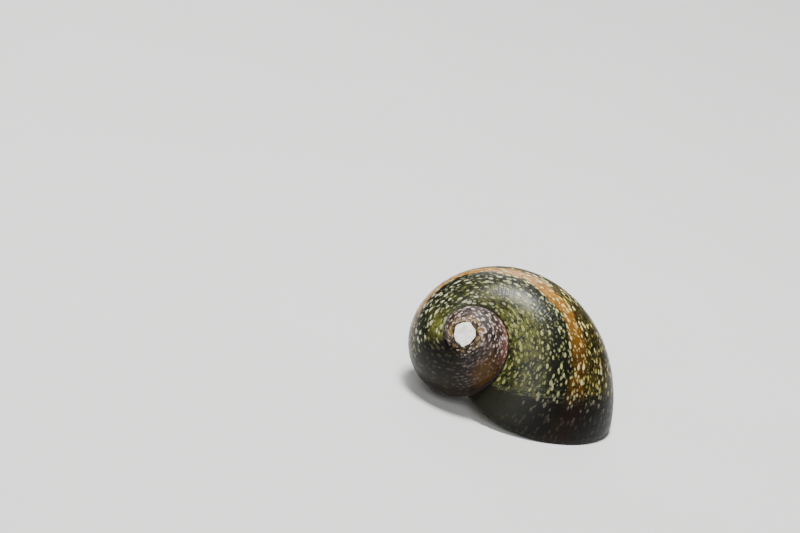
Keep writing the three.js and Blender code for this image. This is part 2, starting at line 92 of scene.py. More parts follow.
# The soft parts, the deck and the operculum, in the same millimetres.
HEAD_CENTRE = Vector((2.7, -11.0, 1.0))
STALK_SHIFT = Vector((2.0, -0.75, 0.35))
EYE_SHIFT = Vector((0.42, -0.14, 0.2))
EYE_RADIUS = 0.36
EYE_SPOT = HEAD_CENTRE + STALK_SHIFT + EYE_SHIFT
FOOT_CENTRE = Vector((1.5, -2.3, 0.0))
FOOT_TURN = math.radians(6)
NECK_CENTRE = Vector((-1.3, -3.9, 0.0))
DECK_EDGE = (Vector((-1.9, 5.5, 0.0)), Vector((7.5, -6.0, 0.0)))
DECK_RUN = DECK_EDGE[1] - DECK_EDGE[0]
DECK_INWARD = Vector((-DECK_RUN.y, DECK_RUN.x, 0)).normalized()
DECK_RECESS = 0.35
DECK_THICKNESS = 1.1
TIP_CENTRE = APEX + Vector((-0.32, -0.58, -0.86))
TIP_FACING = Vector((-0.593, 0.744, 0.307)).normalized()
TIP_RADIUS = 1.25
TIP_SCAR = APEX + Vector((-1.52, -1.94, 0.0))
OPERCULUM_CENTRE = Vector((4.3, 2.2, 1.72))
OPERCULUM_LENGTH = 6.2
OPERCULUM_WIDTH = 3.8
OPERCULUM_THICKNESS = 0.6
OPERCULUM_LEAN = math.radians(4)
LOBE_CENTRE = Vector((3.4, 1.9, 0.75))


def middle(low, high):
    return (low + high) / 2


# How far the solids stand from the shell's own millimetre frame.
MOVE = middle(*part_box("eye_left")) / MM - EYE_SPOT

AXIS = Vector((
    math.cos(AXIS_TILT) * math.cos(AXIS_HEADING),
    math.cos(AXIS_TILT) * math.sin(AXIS_HEADING),
    math.sin(AXIS_TILT),
))
LEVEL = AXIS.cross(Vector((0, 0, 1))).normalized()
UPWARD = AXIS.cross(LEVEL)


def linear(code):
    """An sRGB hex colour as linear red, green and blue."""
    parts = [int(code[i:i + 2], 16) / 255 for i in (1, 3, 5)]
    return tuple(c / 12.92 if c <= 0.04045 else ((c + 0.055) / 1.055) ** 2.4 for c in parts)


def smooth(low, high, value):
    share = min(max((value - low) / (high - low), 0.0), 1.0)
    return share * share * (3 - 2 * share)


def growth(turn):
    rate = math.log(GROWTH_PER_WHORL) / TURN
    late = max(turn + LATE_GROWTH_TURNS, 0) ** 2 - LATE_GROWTH_TURNS ** 2
    return math.exp(rate * turn + LATE_GROWTH * late)


def on_axis(turn, along, out, core):
    """A point of a section, from its place along the spire's slope and out from it."""
    radius = max(along * math.cos(SPIRE_SLOPE) + out * math.sin(SPIRE_SLOPE), core)
    height = -along * math.sin(SPIRE_SLOPE) + out * math.cos(SPIRE_SLOPE)
    heading = LIP_CORNER_HEADING + turn
    outward = LEVEL * math.cos(heading) - UPWARD * math.sin(heading)
    return APEX + outward * radius + AXIS * height


def whorl_point(turn, angle, inset=0.0, groove=0.0):
    """A point of the whorl's wall, drawn in by inset, with a groove beside the suture."""
    scale = growth(turn)
    outer = NEXT_SUTURE * scale
    inner = outer / GROWTH_PER_WHORL
    rise = BULGE * scale
    reach = (outer - inner) / 2 / math.sqrt(1 - BULGE_SINK ** 2)
    along = (inner + outer) / 2 + (reach - inset) * math.cos(angle)
    out = -BULGE_SINK * rise + (rise - inset) * math.sin(angle)
    from_suture = (SECTION_START - angle) * rise
    out -= groove * math.exp(-((from_suture / (2.6 * groove)) ** 2)) if groove else 0
    return on_axis(turn, along, out, COLUMELLA * scale + inset)


def suture_point(turn, share, groove, inset=0.0):
    """A point of the narrow ledge that joins the whorl to the older one beside it."""
    older = NEXT_SUTURE * growth(turn - TURN)
    own = NEXT_SUTURE * growth(turn) / GROWTH_PER_WHORL
    tuck = 2.2 * groove
    along = older - tuck + (own - older + tuck) * share
    out = -groove - 3.2 * groove * (1 - share) ** 2
    along += inset * math.sqrt(1 - BULGE_SINK ** 2)
    return on_axis(turn, along, out - inset * BULGE_SINK, 0.01)


def lip_height(point):
    along = (point.x - CORNER_RISE_START.x) * math.cos(CORNER_RISE_HEADING)
    along += (point.y - CORNER_RISE_START.y) * math.sin(CORNER_RISE_HEADING)
    rise = CORNER_RISE * (max(along, 0) / CORNER_RISE_RUN) ** CORNER_RISE_POWER
    plane = LIP_TOUCH.z + LIP_LEAN_X * (point.x - LIP_TOUCH.x) + LIP_LEAN_Y * (point.y - LIP_TOUCH.y)
    return plane + rise


def lip_turn(angle, inset=0.0, lift=0.0):
    """The turn at which the wall, followed back from beyond the mouth, reaches the lip."""
    if angle < LIP_LAST_ANGLE:
        last = lip_turn(LIP_LAST_ANGLE, inset, lift)
        return max(last + (angle - LIP_LAST_ANGLE) * LIP_LAST_SLOPE, COLUMELLA_TURN)

    def above(turn):
        point = whorl_point(turn, angle, inset)
        return point.z - lip_height(point) - lift

    turn = 0.5
    while above(turn) < 0:
        turn -= 0.05
    low, high = turn, turn + 0.05
    for _ in range(18):
        half = (low + high) / 2
        if above(half) < 0:
            high = half
        else:
            low = half
    return (low + high) / 2


def tone(name, description, code):
    """A colour that the panel shows."""
    return FloatVectorProperty(name=name, description=description, subtype="COLOR", default=linear(code))


def length(name, description, default):
    """A size in millimetres that the panel shows."""
    return FloatProperty(name=name, description=description + ", in millimetres", default=default)


class ShellLook(bpy.types.PropertyGroup):
    wall: length("Wall", "Thickness of the shell at its lip", 0.9)
    suture_groove: length("Suture groove", "Depth of the groove between whorls", 0.11)
    fleck_spacing: length("Fleck spacing", "Distance between pale flecks", 0.7)
    fleck_length: length("Fleck length", "Length of a pale fleck", 0.72)
    fleck_width: length("Fleck width", "Width of a pale fleck", 0.34)
    ground: tone("Ground", "Colour between the flecks", "#191b0b")
    slate: tone("Slate", "Colour of the dark zone", "#121512")
    olive: tone("Olive", "Colour beside the suture", "#565820")
    orange: tone("Orange", "Colour of the spiral band", "#a06d26")
    fleck: tone("Fleck", "Colour of the pale flecks", "#bdbc88")
    spire: tone("Spire", "Ground colour of the spire", "#382a24")
    # The last growth's colour is partly its own and partly painted shade.
    lip: tone("Last growth", "Colour near the lip", "#0a0906")
    chalk: tone("Chalk", "Colour of the eroded tip", "#fbf9ef")
    callus: tone("Callus", "Colour of the deck", "#d8d0ae")


class BodyLook(bpy.types.PropertyGroup):
    grain: length("Skin cell", "Size of the mesh cells of the skin", 0.11)
    skin: tone("Skin", "Ground colour of the skin", "#3d3729")
    streak: tone("Streak", "Colour of the dark streaks", "#100e0a")
    speck: tone("Speck", "Colour of the pale specks", "#80775a")
    sole: tone("Sole", "Colour under the foot", "#807752")
    eye: tone("Eye", "Colour of the eyes", "#0b0a0c")
    operculum: tone("Operculum", "Colour of the operculum", "#8d6a50")


class StageLook(bpy.types.PropertyGroup):
    floor: tone("Floor", "Colour of the floor", "#cbccca")
    key: FloatProperty(
        name="Key light", description="Power of the soft light overhead", unit="POWER", default=6.0)
    fill: FloatProperty(
        name="Fill", description="Strength of the light from all round", subtype="FACTOR", default=0.1)


def mesh_of(name, form):
    """The mesh of a finished form."""
    mesh = bpy.data.meshes.new(name)
    form.to_mesh(mesh)
    form.free()
    return mesh


def stand(name, data):
    """Puts an object with this data into the scene."""
    made = bpy.data.objects.new(name, data)
    bpy.context.scene.collection.objects.link(made)
    return made


def settle(name, form, nodes, material):
    """Turns a millimetre form into a smooth object that stands where the solids stand."""
    for face in form.faces:
        face.smooth = True
    mesh = mesh_of(name, form)
    mesh.transform(Matrix.Scale(MM, 4) @ Matrix.Translation(MOVE))
    mesh.materials.append(material)
    made = stand(name, mesh)
    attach(made, "root")
    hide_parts(*nodes)


def wrap(form, across, along, place):
    """Makes a grid, places its corners by column and row, and closes it into a skin."""
    made = bmesh.ops.create_grid(form, x_segments=across, y_segments=along, size=1)
    for vert in made["verts"]:
        place(vert, round((vert.co.x + 1) / 2 * across), round((vert.co.y + 1) / 2 * along))
    bmesh.ops.remove_doubles(form, verts=made["verts"], dist=1e-5)
    rims = [edge for edge in form.edges if edge.is_boundary]
    if rims:
        bmesh.ops.holes_fill(form, edges=rims, sides=0)
    wide = [face for face in form.faces if len(face.verts) > 4]
    bmesh.ops.triangulate(form, faces=wide)
    bmesh.ops.recalc_face_normals(form, faces=form.faces)


# The nodes used here, each under a plain word: its kind and settings, the inputs that its
# values go to in turn, and the outputs that it gives.
NODES = {
    "object spot": ("ShaderNodeTexCoord", {}, (), ("Object",)),
    "normal": ("ShaderNodeNewGeometry", {}, (), ("Normal",)),
    "attribute": ("ShaderNodeAttribute", {}, (), ("Fac",)),
    "vector attribute": ("ShaderNodeAttribute", {}, (), ("Vector",)),
    "noise": ("ShaderNodeTexNoise", {}, ("Vector", "Scale", "Detail", "Roughness"), (0,)),
    "noise vector": ("ShaderNodeTexNoise", {}, ("Vector", "Scale", "Detail"), ("Color",)),
    "cells": (
        "ShaderNodeTexVoronoi", {}, ("Vector", "Scale", "Randomness"), ("Distance", "Color", "Position")),
    "step": ("ShaderNodeMapRange", {"interpolation_type": "SMOOTHSTEP"}, range(5), (0,)),
    "mix": ("ShaderNodeMix", {"data_type": "RGBA"}, (0, 6, 7), (2,)),
    "bump": ("ShaderNodeBump", {}, ("Height", "Strength", "Distance"), (0,)),
    "join": ("ShaderNodeCombineXYZ", {}, (0, 1), (0,)),
    "part": ("ShaderNodeSeparateXYZ", {}, (0,), range(3)),
    "part colour": ("ShaderNodeSeparateColor", {}, (0,), range(3)),
    "stretch": ("ShaderNodeMapping", {}, ("Vector", "Scale"), (0,)),
    "resize": ("ShaderNodeVectorMath", {"operation": "SCALE"}, (0, 3), (0,)),
    "offset": ("ShaderNodeVectorMath", {"operation": "SUBTRACT"}, (0, 1), (0,)),
    "shift": ("ShaderNodeVectorMath", {"operation": "MULTIPLY_ADD"}, range(3), (0,)),
    "dot": ("ShaderNodeVectorMath", {"operation": "DOT_PRODUCT"}, (0, 1), ("Value",)),
    "distance": ("ShaderNodeVectorMath", {"operation": "DISTANCE"}, (0, 1), ("Value",)),
}
for operation in ("ADD", "SUBTRACT", "MULTIPLY", "DIVIDE", "MAXIMUM", "POWER", "SINE", "COSINE"):
    NODES[operation.lower()] = ("ShaderNodeMath", {"operation": operation}, (0, 1), (0,))


class Value:
    """A node's output to reckon with like a number: each sum on it adds a node."""

    def __init__(self, socket):
        self.socket = socket
        self.tree = socket.id_data

    def __add__(self, other):
        return node("add", self, other)

    def __sub__(self, other):
        return node("subtract", self, other)

    def __rsub__(self, other):
        return node("subtract", other, self)

    def __mul__(self, other):
        return node("multiply", self, other)

    def __truediv__(self, other):
        return node("divide", self, other)


def wire(tree, made, inputs):
    """Sets a node's inputs, each to a plain value, to a colour or to a link."""
    for key, value in inputs.items():
        socket = made.inputs[key]
        if isinstance(value, Value):
            tree.links.new(value.socket, socket)
        elif socket.type == "RGBA":
            socket.default_value = (*(linear(value) if isinstance(value, str) else value), 1.0)
        else:
            socket.default_value = value


def node(word, *values, tree=None, **settings):
    """Adds the node of a word with its settings and links, and gives its outputs."""
    kind, usual, sockets, outputs = NODES[word]
    tree = tree or next(value.tree for value in values if isinstance(value, Value))
    made = tree.nodes.new(kind)
    for setting, value in {**usual, **settings}.items():
        setattr(made, setting, value)
    wire(tree, made, dict(zip(sockets, values)))
    given = [Value(made.outputs[output]) for output in outputs]
    return given if given[1:] else given[0]


def new_material(name):
    """An empty material, with its tree and its principled shader."""
    made = bpy.data.materials.new(name)
    made.use_nodes = True
    tree = made.node_tree
    tree.nodes.clear()
    shader = tree.nodes.new("ShaderNodeBsdfPrincipled")
    wire(tree, tree.nodes.new("ShaderNodeOutputMaterial"), {"Surface": Value(shader.outputs["BSDF"])})
    return made, tree, shader


def layered(colour, *layers):
    """Lays colours over a colour in turn, each by its own share."""
    for share, over in layers:
        colour = node("mix", share, colour, over)
    return colour


def window(value, low, low_full, high_full, high):
    """1 between low_full and high_full, and 0 beyond low and high."""
    return node("step", value, low, low_full) * node("step", value, high_full, high, 1.0, 0.0)


def object_millimetres(tree):
    """Where a point stands in the object, in millimetres."""
    return node("resize", node("object spot", tree=tree), 1 / MM)


# How far a fleck tapers along its length, how deep in the wall its cell reaches, and how far
# apart the rows of flecks stand, as a share of the section.
FLECK_TAPER = 0.45
FLECK_DEPTH = 0.46
FLECK_ROW = 0.0235


def flecks(spot, grain, spacing, length, width, keep, swell):
    """Flecks drawn out along the grain: how much of one is here, its own random tint, and
    how much of the dark rim that sets it off."""
    scaled = node("resize", spot, 1 / spacing)
    _, chance, centre = node("cells", scaled, 1.0, 0.85)
    offset = node("offset", scaled, centre)
    normal = node("normal", tree=spot.tree)
    along, out, whole = [node("dot", offset, other) for other in (grain, normal, offset)]
    side_square = whole - (along * along + out * out)
    half_length = length / 2 / spacing
    half_width = width / 2 / spacing
    taper = node("maximum", along * (FLECK_TAPER / half_length) + 1.0, 0.3)
    reach = along * along * half_length ** -2
    reach = side_square / taper * half_width ** -2 + reach
    reach = out * out * FLECK_DEPTH ** -2 + reach
    kept, grown, tint = node("part colour", chance)
    present = node("step", kept, keep - 0.03, keep + 0.03, 1.0, 0.0)
    reach /= (grown * 0.9 + 0.5) * swell
    edge = node("step", reach, 0.5, 1.2, 1.0, 0.0)
    return edge * present, tint, window(reach, 0.9, 1.6, 2.2, 3.6) * present


def shell_material(look):
    """Periostracum over limy shell: a thin, glossy horny skin over pigment that the mantle
    laid down as flecks and bands, so the eye sees sharp pale flecks deep in dark olive,
    under highlights that the growth lines break up."""
    made, tree, shader = new_material("periostracum_on_shell")
    spot = object_millimetres(tree)
    grain = node("vector attribute", tree=tree, attribute_name="grain")
    back, share, age = node("part", node("vector attribute", tree=tree, attribute_name="coil"))
    inside = node("attribute", tree=tree, attribute_name="inside")

    # The zones across the whorl wander a little, as the mantle that laid them did.
    drift = node("noise", spot, 1 / 2.4, 3.0, 0.55)
    ragged = node("noise", spot, 1 / 0.55, 3.0, 0.6)
    mottle = node("noise", spot, 1 / 0.9, 4.0, 0.65)
    wander = drift * 0.05 - 0.025
    across = ragged * 0.03 + share + wander - 0.015

    # Slate lies in the middle, olive by the suture and olive brown beyond the band.
    olive = node("mix", node("step", mottle, 0.38, 0.62), look.ground, look.olive)
    beyond = node("mix", node("step", mottle, 0.35, 0.7), "#1c190b", "#463b13")
    mossy = window(age, 3.9, 4.4, 4.8, 5.2) * node("step", across, 0.05, 0.1, 1.0, 0.0)
    by_suture = node("step", across, 0.085, 0.15, 1.0, 0.0) * node("step", back, 1.9, 3.0, 1.0, 0.3)
    by_suture = node("maximum", by_suture, mossy)

    # The spiral band is golden over the top of the whorl; its darker brown towards the lip and again where
    # it turns under the spire is painted shade.
    gold = layered(
        "#3f2a0d",
        (node("step", back, 0.5, 1.6), look.orange),
        (node("step", mottle, 0.42, 0.62, 0.0, 0.7), "#6b4412"),
        (node("step", back, 3.1, 3.9), "#33220f"),
        (node("step", ragged, 0.55, 0.7, 0.0, 0.8), "#3d260e"),
    )
    band = window(across, 0.186, 0.2, 0.238, 0.254)

    # Painted shade: the ground darkens low on the whorl, towards the line where the shell once rested, where
    # the light falls off.
    low = node("step", back, 0.65, 1.5, 0.92, 0.0) * node("step", across, 0.18, 0.22, 1.0, 0.45)
    low *= node("step", mottle, 0.3, 0.6, 1.0, 0.6)

    # Pale flecks stand in loose rows along the whorl, and crowd together by the suture.
    swell = node("cosine", (share + wander) * (TURN / FLECK_ROW)) * 0.3 + 0.85
    bent = node("shift", node("noise vector", spot, 1 / 0.6, 2.0), (0.3, 0.3, 0.3), spot)
    spacing, length, width = look.fleck_spacing, look.fleck_length, look.fleck_width
    large, large_tint, large_rim = flecks(bent, grain, spacing, length, width, 0.9, swell)
    small, small_tint, small_rim = flecks(
        bent, grain, spacing * 0.64, length * 0.62, width * 0.72, 0.92, swell)
    dots = flecks(bent, grain, spacing * 0.8, 0.42, 0.34, 0.55, 1.0)[0]
    yellow = node("step", across, 0.17, 0.24) * node("step", back, 1.4, 2.6, 1.0, 0.5)
    pale = layered(
        look.fleck,
        (large_tint, "#8f935c"),
        (by_suture * 0.7, "#8c8b56"),
        (yellow, node("mix", large_tint, "#c3b354", "#d9cf9a")),
        (node("step", back, 2.0, 3.2), "#b3b592"),
    )
    crowded = by_suture * node("step", back, 0.7, 1.6, 0.25, 1.0)
    faint = small * (1.0 - crowded) * node("step", across, 0.24, 0.28, 0.3, 0.12)
    # Large flecks fade at random, by the suture, and in the painted shade low on the whorl and under the
    # spire.
    seen = node("step", age, 4.6, 5.4, 0.93, 0.2) * node("step", large_tint, 0.0, 0.5, 0.45, 1.0)
    seen = seen * node("step", back + drift, 0.9, 1.7, 0.6, 1.0) * (crowded * -0.35 + 1.0)
    rims = node("maximum", large_rim, small_rim * 0.6) * (band * -0.4 + 0.5)

    # The whorl darkens to near-black brown where it runs under the spire, partly its own brown and partly
    # painted shade on the side turned from the light.
    brown_and_painted_shade = layered(
        "#080604",
        (node("step", mottle, 0.35, 0.65), "#120d08"),
        (node("step", share, 0.22, 0.34), "#1a1009"),
    )
    in_brown_and_shade = node("step", age + (drift * 1.2 - 0.6), 4.6, 5.3, 0.0, 0.95)
    brown_and_shade_share = in_brown_and_shade * (1.0 - large * 0.2)

    # The spire: purple-brown with crowded whitish flecks, pink and golden by its suture.
    away = node("distance", spot, TIP_CENTRE + MOVE) + (mottle * 0.9 - 0.45)
    by_tip = node("step", away, 2.0, 2.6, 1.0, 0.0)
    golden = window(age, 6.3, 6.7, 6.9, 7.5) * node("step", share, 0.12, 0.24)
    pink = window(age, 7.0, 7.4, 7.9, 8.6) * node("step", across, 0.25, 0.3, 0.0, 0.8)
    tan = window(away, 1.2, 1.45, 1.9, 2.3) * node("step", ragged, 0.45, 0.6) * 0.8
    lit = node("maximum", small, large * 0.3) * node("step", age, 6.9, 7.6, 0.12, 0.9)
    lit = node("maximum", lit, small * by_tip * 0.75)
    spire = layered(
        "#110b0c",
        (node("step", mottle, 0.35, 0.62), look.spire),
        # the spire's lower turns take the same brown and painted shade
        (node("step", age, 6.6, 7.3, 1.0, 0.0) * 0.8, brown_and_painted_shade),
        (golden, node("mix", mottle, "#251809", "#553813")),
        (pink, node("mix", mottle, "#4d2a26", "#8a5b50")),
        (tan, "#80693a"),
        (lit, node("mix", small_tint, "#d9cabd", "#99847a")),
    )
    on_spire = node("maximum", node("step", age, TURN - 0.5, TURN + 0.2), by_tip)

    # The last growth, below the line where the shell once rested, is plainer and darker, partly in its own
    # colour and partly by painted shade on the low wall.
    since = back - (ragged * 0.34 + (share * -0.42 + 0.475 - 0.17))
    last = node("step", since, -0.05, 0.06, 1.0, 0.0)
    ghost = large * node("step", share, 0.06, 0.1) * node("step", since, -0.2, 0.0, 0.04, 0.4)
    plain = layered(
        "#15160b",
        (node("step", across, 0.07, 0.14), look.lip),
        (window(across, 0.18, 0.2, 0.24, 0.27), "#140b06"),
        (node("step", across, 0.36, 0.42), "#1f1308"),
        (ghost, "#9a957c"),
    )

    # Growth lines cross the whorl, about 0.3 mm apart where it is widest.
    lines = node("noise", node("join", back * 40.0, share * 12.0), 1.0, 3.0, 0.6)
    threads = window(since, -0.08, -0.03, 0.03, 0.1) * window(lines, 0.53, 0.56, 0.58, 0.61)
    threads *= node("step", share, 0.12, 0.2, 0.22, 0.06)

    # A dark line lies in the groove of the suture, until the tip's wear wipes it out.
    from_suture = share * 46.0 * node("power", math.e, age * -0.19)
    groove = node("step", from_suture, 0.05, 0.24, 1.0, 0.0) * node("step", age, 2.6, 3.6, 1.0, 0.35)

    # A small round scar stands beside the tip.
    scar = ragged * 0.3 + (node("distance", spot, TIP_SCAR + MOVE) - 0.15)
    ring = window(scar, 0.24, 0.32, 0.38, 0.5) * node("step", mottle, 0.4, 0.55) * 0.7

    colour = layered(
        look.slate,
        (node("step", mottle, 0.35, 0.65), look.ground),
        (by_suture, olive),
        (mossy * 0.45, "#6c6b30"),
        (node("step", across, 0.23, 0.27), beyond),
        (band * 0.95, gold),
        (window(across, 0.395, 0.42, 0.47, 0.5), node("mix", mottle, "#3c250f", "#8a5a24")),
        # painted shade low on the whorl
        (low, "#0c0d07"),
        (small * crowded, node("mix", small_tint, "#858550", "#5f5f2c")),
        (faint, pale),
        (rims, "#0d0f08"),
        (large * seen, pale),
        (dots * crowded * 0.75, "#10130a"),
        # brown and painted shade under the spire
        (brown_and_shade_share, brown_and_painted_shade),
        (on_spire, spire),
        # the last growth, darkened partly by painted shade
        (last, plain),
        (node("step", lines, 0.55, 0.7, 0.0, 0.22), "#101008"),
        (threads, "#8b8c66"),
        (groove, "#150b06"),
        (node("step", scar, 0.25, 0.4, 0.7, 0.0), "#6d5233"),
        (ring, "#cdb4a6"),
        (node("step", inside, 0.35, 0.9), node("mix", mottle, "#8f8f7a", "#6e6f5c")),
    )
    wire(tree, shader, {
        "Base Color": colour,
        "Roughness": node("step", lines, 0.3, 0.7, 0.26, 0.38) + node("maximum", last, in_brown_and_shade) * 0.12,
        "IOR": 1.45,
        "Specular IOR Level": 0.22,
        "Normal": node("bump", large * 0.25 + (lines * 0.6 + mottle * 0.5), 0.6, 0.09 * MM),
    })
    return made


SHELL_LEDGE_STEPS = 4
SHELL_WALL_STEPS = 104
SHELL_BACK_STEPS = 7
SHELL_STAGES_PER_TURN = 140
SHELL_AGE = 385
SHELL_RIM_STEPS = 8
SHELL_INNER_STAGES = 20
# By the columella the wall thins to this share, between these two angles of the section.
THINNEST = 0.06
THIN_ANGLES = (math.radians(-76), math.radians(-62))
WORN_DIP = 0.22


def shell_columns():
    """The columns of the shell's sheet: the ledge at the suture, the wall, and the way back."""
    columns = [("ledge", i / SHELL_LEDGE_STEPS) for i in range(SHELL_LEDGE_STEPS + 1)]
    for i in range(1, SHELL_WALL_STEPS + 1):
        angle = SECTION_START + (SECTION_END - SECTION_START) * (i / SHELL_WALL_STEPS) ** 1.4
        columns.append(("wall", angle))
    columns += [("back", i / SHELL_BACK_STEPS) for i in range(1, SHELL_BACK_STEPS + 1)]
    return columns


def shell_rows(wall):
    """The rows: stages of growth up to the lip, round its edge and some way back inside."""
    edge = 0.3 * wall
    step = TURN / SHELL_STAGES_PER_TURN
    stages = [(step * i, 0.0, edge, 0.0) for i in range(SHELL_AGE, -1, -1)]
    for i in range(1, SHELL_RIM_STEPS):
        swing = math.pi * i / SHELL_RIM_STEPS
        inset = wall * (1 - math.cos(swing)) / 2
        stages.append((0.0, inset, edge * (1 - math.sin(swing)), i / SHELL_RIM_STEPS))
    stages += [(step * i, wall, edge, 1.0) for i in range(SHELL_INNER_STAGES)]
    return stages


def worn(spot):
    """Wears the top of the spire down to the plane of its eroded face."""
    off = spot - TIP_CENTRE
    height = off.dot(TIP_FACING)
    aside = (off - TIP_FACING * height).length
    if aside > 3 * TIP_RADIUS:
        return spot
    level = 0.02 - WORN_DIP * smooth(1.15 * TIP_RADIUS, 0.85 * TIP_RADIUS, aside)
    return spot - TIP_FACING * max(height - level, 0)


def shell_form(look):
    """The whole shell as one skin, each row a stage of growth of the lip's own curve."""
    columns = shell_columns()
    rows = shell_rows(look.wall)
    lip_of = cache(lip_turn)

    def wall_at(kind, value, row):
        back, inset, lift, _ = rows[row]
        angle = SECTION_START if kind == "ledge" else value
        thin = inset * (THINNEST + (1 - THINNEST) * smooth(*THIN_ANGLES, angle))
        turn = lip_of(angle, thin, lift) - back
        groove = look.suture_groove * growth(turn) ** 0.6 * (1 - 0.85 * smooth(-7.8, -10, turn))
        spot = (suture_point(turn, value, groove, thin) if kind == "ledge"
                else whorl_point(turn, angle, thin, groove))
        ahead = whorl_point(turn + 0.02, angle, thin)
        grain = (ahead - whorl_point(turn - 0.02, angle, thin)).normalized()
        share = (SECTION_START - angle) / (SECTION_START - SECTION_END)
        return worn(spot), Vector((back, share, -turn)), grain

    @cache
    def at(column, row):
        kind, value = columns[column]
        if kind != "back":
            return wall_at(kind, value, row)
        start, laid, along = at(SHELL_LEDGE_STEPS + SHELL_WALL_STEPS, row)
        spot = start.lerp(at(0, row)[0], value)
        return spot + (APEX - spot) * 0.09 * math.sin(math.pi * value), laid, along

    form = bmesh.new()
    coil = form.verts.layers.float_vector.new("coil")
    grain = form.verts.layers.float_vector.new("grain")
    inside = form.verts.layers.float.new("inside")

    def place(vert, column, row):
        vert.co, vert[coil], vert[grain] = at(column, row)
        vert[inside] = rows[row][3]

    wrap(form, len(columns) - 1, len(rows) - 1, place)
    return form


class NERITE_OT_shell(bpy.types.Operator):
    """Adds the coiled shell, from its first whorl to the lip, as one skin"""
    bl_idname = "nerite.shell"
    bl_label = "Shell"

    def execute(self, context):
        look = context.scene.nerite_shell
        nodes = ("shell_body_whorl", "shell_outer_lip", "shell_spire")
        settle("shell", shell_form(look), nodes=nodes, material=shell_material(look))
        return {"FINISHED"}


def chalk_material(look):
    """Eroded lime: the horny skin is gone, which leaves a dull, chalky, pitted white."""
    made, tree, shader = new_material("eroded_lime")
    spot = object_millimetres(tree)
    blotch = node("noise", spot, 1 / 0.6, 4.0, 0.6)
    pits = node("noise", spot, 1 / 0.12, 2.0, 0.5)
    colour = node("mix", node("step", blotch, 0.5, 0.72, 0.0, 0.55), look.chalk, "#cfcdbc")
    normal = node("bump", blotch * 0.7 + pits * 0.3, 0.5, 0.08 * MM)
    wire(tree, shader, {"Base Color": colour, "Roughness": 0.7, "Normal": normal})
    return made


TIP_WIDTH = 2.34
TIP_HEIGHT = 2.5
TIP_TAIL = 0.24
TIP_PROUD = 0.17


def tip_form():
    """The worn face: a thin plug of lime with a ragged rim and a small tail at its foot."""
    form = bmesh.new()
    bmesh.ops.create_uvsphere(form, u_segments=88, v_segments=36, radius=1)
    side = Vector((0, 0, 1)).cross(TIP_FACING).normalized()
    stand = Matrix((side, TIP_FACING.cross(side), TIP_FACING)).transposed()
    foot = math.radians(-84)
    for vert in form.verts:
        heading = math.atan2(vert.co.y, vert.co.x)
        level = math.hypot(vert.co.x, vert.co.y)
        reach = (1 - (1 - level) ** 2.2) if vert.co.z > 0 else level
        ragged = 1 + 0.035 * math.sin(5 * heading + 0.6) + 0.02 * math.sin(9 * heading + 2)
        tail = TIP_TAIL * math.exp(-((heading - foot) / 0.3) ** 2)
        x = math.cos(heading) * reach * ragged * TIP_WIDTH / 2
        y = math.sin(heading) * reach * (ragged * TIP_HEIGHT / 2 + tail)
        flat = Vector((x, y, 0))
        worn_top = 1 + 0.35 * noise.noise(flat * 1.7) - 0.25 * (1 - reach) + 0.25 * noise.noise(flat * 5)
        z = TIP_PROUD * vert.co.z ** 0.5 * worn_top if vert.co.z > 0 else 0.5 * vert.co.z
        vert.co = TIP_CENTRE + stand @ Vector((x, y, z))
    return form


class NERITE_OT_tip(bpy.types.Operator):
    """Adds the eroded tip, a worn plug of white lime with a ragged edge"""
    bl_idname = "nerite.tip"
    bl_label = "Eroded tip"

    def execute(self, context):
        look = context.scene.nerite_shell
        material = chalk_material(look)
        settle("eroded_tip", tip_form(), nodes=("shell_apex",), material=material)
        return {"FINISHED"}


def callus_material(look):
    """Callus: smooth porcelain lime laid over the inner lip, glossy, cream to tan."""
    made, tree, shader = new_material("porcelain_callus")
    spot = object_millimetres(tree)
    cloud = node("noise", spot, 1 / 2.5, 3.0, 0.5)
    colour = node("mix", node("step", cloud, 0.4, 0.68), look.callus, "#b79a5e")
    normal = node("bump", node("noise", spot, 1 / 0.8, 3.0, 0.55), 0.25, 0.08 * MM)
    wire(tree, shader, {"Base Color": colour, "Roughness": 0.28, "IOR": 1.6, "Normal": normal})
    return made


DECK_TEETH = 13
DECK_TOOTH = 0.3
DECK_DIP = 0.5
DECK_INSET = 0.08
DECK_TOOTHED_SHARE = 0.6
DECK_MIDDLE = Vector((5.0, 1.2, 0))
DECK_COLUMNS = 260
DECK_ROWS = 26
DECK_BACK_THIN = 0.25
DECK_RAY_DROP = 5.0
# The callus lies this deep in the base of the shell, and covers it between these two
# distances behind the toothed edge.
CALLUS_SINK = 0.12
CALLUS_START = 2.5
CALLUS_FULL = 5.5
DECK_BACK = (
    Vector((8.7, -4.6, 0)), Vector((9.7, -2.0, 0)), Vector((9.7, 1.2, 0)),
    Vector((8.3, 4.2, 0)), Vector((5.8, 6.4, 0)), Vector((3.0, 6.7, 0)), Vector((0.6, 6.1, 0)),
)


def curve_through(points, share):
    """A point on the smooth curve through a row of points."""
    place = min(share * (len(points) - 1), len(points) - 1.001)
    i = int(place)
    t = place - i
    before, start, end, after = (points[min(max(k, 0), len(points) - 1)] for k in range(i - 1, i + 3))
    return 0.5 * (
        2 * start + (end - before) * t
        + (2 * before - 5 * start + 4 * end - after) * t ** 2
        + (3 * start - before - 3 * end + after) * t ** 3
    )


def deck_outline(share):
    """A point on the deck's rim: its toothed edge first, then its back."""
    if share < DECK_TOOTHED_SHARE:
        run = share / DECK_TOOTHED_SHARE
        spot = DECK_EDGE[0].lerp(DECK_EDGE[1], DECK_INSET + (1 - DECK_INSET) * run)
        tooth = max(math.cos(TURN * DECK_TEETH * run), 0) ** 1.5 * math.sin(math.pi * run) ** 0.6
        dip = DECK_DIP * math.sin(math.pi * run)
        return spot - DECK_INWARD * (DECK_TOOTH * tooth - dip)
    back = (DECK_EDGE[1], *DECK_BACK, DECK_EDGE[0].lerp(DECK_EDGE[1], DECK_INSET))
    return curve_through(back, (share - DECK_TOOTHED_SHARE) / (1 - DECK_TOOTHED_SHARE))


